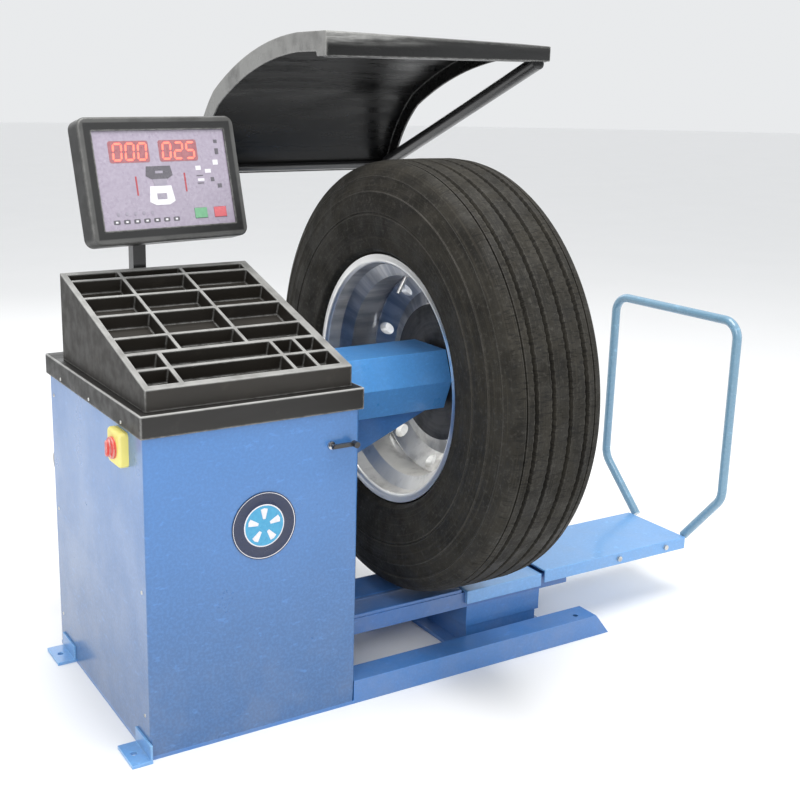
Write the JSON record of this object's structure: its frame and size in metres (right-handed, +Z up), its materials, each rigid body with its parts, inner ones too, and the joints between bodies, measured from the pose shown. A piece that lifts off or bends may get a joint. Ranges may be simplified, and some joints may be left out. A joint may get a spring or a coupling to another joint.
{
  "type": "wheel balancer",
  "caption": "Truck wheel balancer: cabinet with weight tray and display, horizontal spindle carrying a wheel, raised wheel guard and sliding wheel lift.",
  "frame": {"origin": "on the floor, at the centre of the cabinet's footprint", "axes": "+X along the spindle from the cabinet to the wheel, +Y to the back, +Z up"},
  "size_m": [1.683, 1.3259, 1.499],
  "materials": {
    "blue_paint": "glossy powder coat",
    "light_blue_paint": "glossy powder coat",
    "dark_blue_paint": "powder coat in shade, scuffed",
    "grey_blue_paint": "glossy painted tube",
    "black_plastic": "textured moulded plastic",
    "guard_plastic": "semi-gloss vacuum-formed plastic",
    "panel_film": "printed membrane",
    "green_key": "membrane key",
    "red_key": "membrane key",
    "yellow_plastic": "moulded plastic",
    "red_plastic": "moulded plastic",
    "badge_enamel": "printed disc",
    "machined_steel": "ground and oiled",
    "dark_steel": "blackened steel",
    "rim_alloy": "polished forged alloy",
    "tyre_rubber": "used tyre rubber",
    "belt_rubber": "ribbed belt",
    "motor_grey": "grey enamel",
    "board_green": "circuit board",
    "zinc_steel": "zinc plated",
    "black_steel": "black powder coat"
  },
  "bodies": {
    "base": {"cabinet_floor_plate": "blue_paint", "cabinet_shell": "blue_paint", "rear_cover": "blue_paint", "rear_cover_screws": "zinc_steel", "anchor_feet": "light_blue_paint", "base_beams": "blue_paint", "base_cross_plate": "blue_paint", "top_trim": "black_plastic", "weight_tray": "black_plastic", "display_post": "black_steel", "main_switch_plate": "yellow_plastic", "lift_valve": "machined_steel", "front_badge": "badge_enamel", "power_inlet": "black_plastic", "spindle_housing": "blue_paint", "housing_gussets": "blue_paint", "bearing_tube": "dark_steel", "spindle_bearings": "machined_steel", "force_sensors": "zinc_steel", "spindle_shelf": "blue_paint", "encoder_sensor": "black_plastic", "motor": "motor_grey", "motor_shelf": "blue_paint", "drive_belt": "belt_rubber", "power_supply": "motor_grey", "computer_board": "board_green", "guard_pivot_brackets": "black_steel", "lift_guide_box": "blue_paint", "lift_cylinder": "rim_alloy"},
    "spindle": {"spindle_shaft": "machined_steel", "backing_flange": "dark_steel", "spindle_pulley": "rim_alloy", "encoder_disc": "machined_steel", "wheel_rim": "rim_alloy", "tyre": "tyre_rubber", "valve_stem": "zinc_steel", "centring_cone": "dark_steel"},
    "quick_nut": {"quick_nut": "dark_steel"},
    "motor_rotor": {"motor_pulley": "machined_steel"},
    "guard": {"guard_shell": "guard_plastic", "guard_arm": "black_steel"},
    "display_swivel": {"swivel_bracket": "black_steel", "tilt_pin_and_knob": "black_plastic"},
    "display_head": {"display_housing": "black_plastic", "display_panel": "panel_film"},
    "start_key": {"start_key": "green_key"},
    "stop_key": {"stop_key": "red_key"},
    "switch_knob": {"main_switch_knob": "red_plastic"},
    "valve_lever": {"lift_valve_lever": "black_steel"},
    "lift": {"lift_beam": "dark_blue_paint", "lift_saddle": "light_blue_paint", "lift_skirt": "blue_paint", "lift_rod": "machined_steel", "wheel_cradle": "dark_blue_paint", "roller_axles": "zinc_steel"},
    "inner_roller": {"inner_roller": "zinc_steel"},
    "outer_roller": {"outer_roller": "zinc_steel"},
    "carriage": {"sliding_platform": "light_blue_paint", "platform_bolts": "zinc_steel", "push_loop": "grey_blue_paint"}
  },
  "joints": [
    {"name": "spindle_spin", "type": "hinge", "parent": "base", "child": "spindle", "pos_m": [0, -0.084, 0.698], "axis": [1, 0, 0], "continuous": true},
    {"name": "motor_spin", "type": "hinge", "parent": "base", "child": "motor_rotor", "pos_m": [0, -0.084, 0.44], "axis": [1, 0, 0], "continuous": true},
    {"name": "quick_nut_slide", "type": "slide", "parent": "spindle", "child": "quick_nut", "axis": [1, 0, 0], "range_m": [0, 0.05]},
    {"name": "guard_swing", "type": "hinge", "parent": "base", "child": "guard", "pos_m": [0, 0.486, 0.42], "axis": [1, 0, 0], "range_deg": [0, 25]},
    {"name": "display_swivel", "type": "hinge", "parent": "base", "child": "display_swivel", "pos_m": [-0.033, 0.269, 1.12], "axis": [0, 0, 1], "range_deg": [-45, 45]},
    {"name": "display_tilt", "type": "hinge", "parent": "display_swivel", "child": "display_head", "pos_m": [-0.02937, 0.24528, 1.146], "axis": [0.9885, 0.1513, 0], "range_deg": [-15, 14]},
    {"name": "start_key_press", "type": "slide", "parent": "display_head", "child": "start_key", "axis": [-0.1466, 0.9583, -0.2453], "range_m": [0, 0.0015], "stiffness_N_per_m": 400},
    {"name": "stop_key_press", "type": "slide", "parent": "display_head", "child": "stop_key", "axis": [-0.1466, 0.9583, -0.2453], "range_m": [0, 0.0015], "stiffness_N_per_m": 400},
    {"name": "main_switch_turn", "type": "hinge", "parent": "base", "child": "switch_knob", "pos_m": [-0.248, -0.188, 0.658], "axis": [-1, 0, 0], "range_deg": [0, 90]},
    {"name": "valve_lever_turn", "type": "hinge", "parent": "base", "child": "valve_lever", "pos_m": [0.178, -0.306, 0.632], "axis": [0, 1, 0], "range_deg": [-45, 45]},
    {"name": "lift_raise", "type": "slide", "parent": "base", "child": "lift", "axis": [0, 0, 1], "range_m": [-0.05, 0]},
    {"name": "carriage_slide", "type": "slide", "parent": "lift", "child": "carriage", "axis": [1, 0, 0], "range_m": [-0.4, 0]},
    {"name": "inner_roller_spin", "type": "hinge", "parent": "lift", "child": "inner_roller", "pos_m": [0.888, -0.117, 0.154], "axis": [0, 1, 0], "range_deg": [-1700, 40]},
    {"name": "outer_roller_spin", "type": "hinge", "parent": "lift", "child": "outer_roller", "pos_m": [0.93, -0.117, 0.154], "axis": [0, 1, 0], "range_deg": [-1700, 40]}
  ],
  "couplings": [
    {"joint": "motor_spin", "follows": "spindle_spin", "ratio": 2.5714},
    {"joint": "inner_roller_spin", "follows": "carriage_slide", "rad_per_m": 71.429},
    {"joint": "outer_roller_spin", "follows": "carriage_slide", "rad_per_m": 71.429}
  ]
}
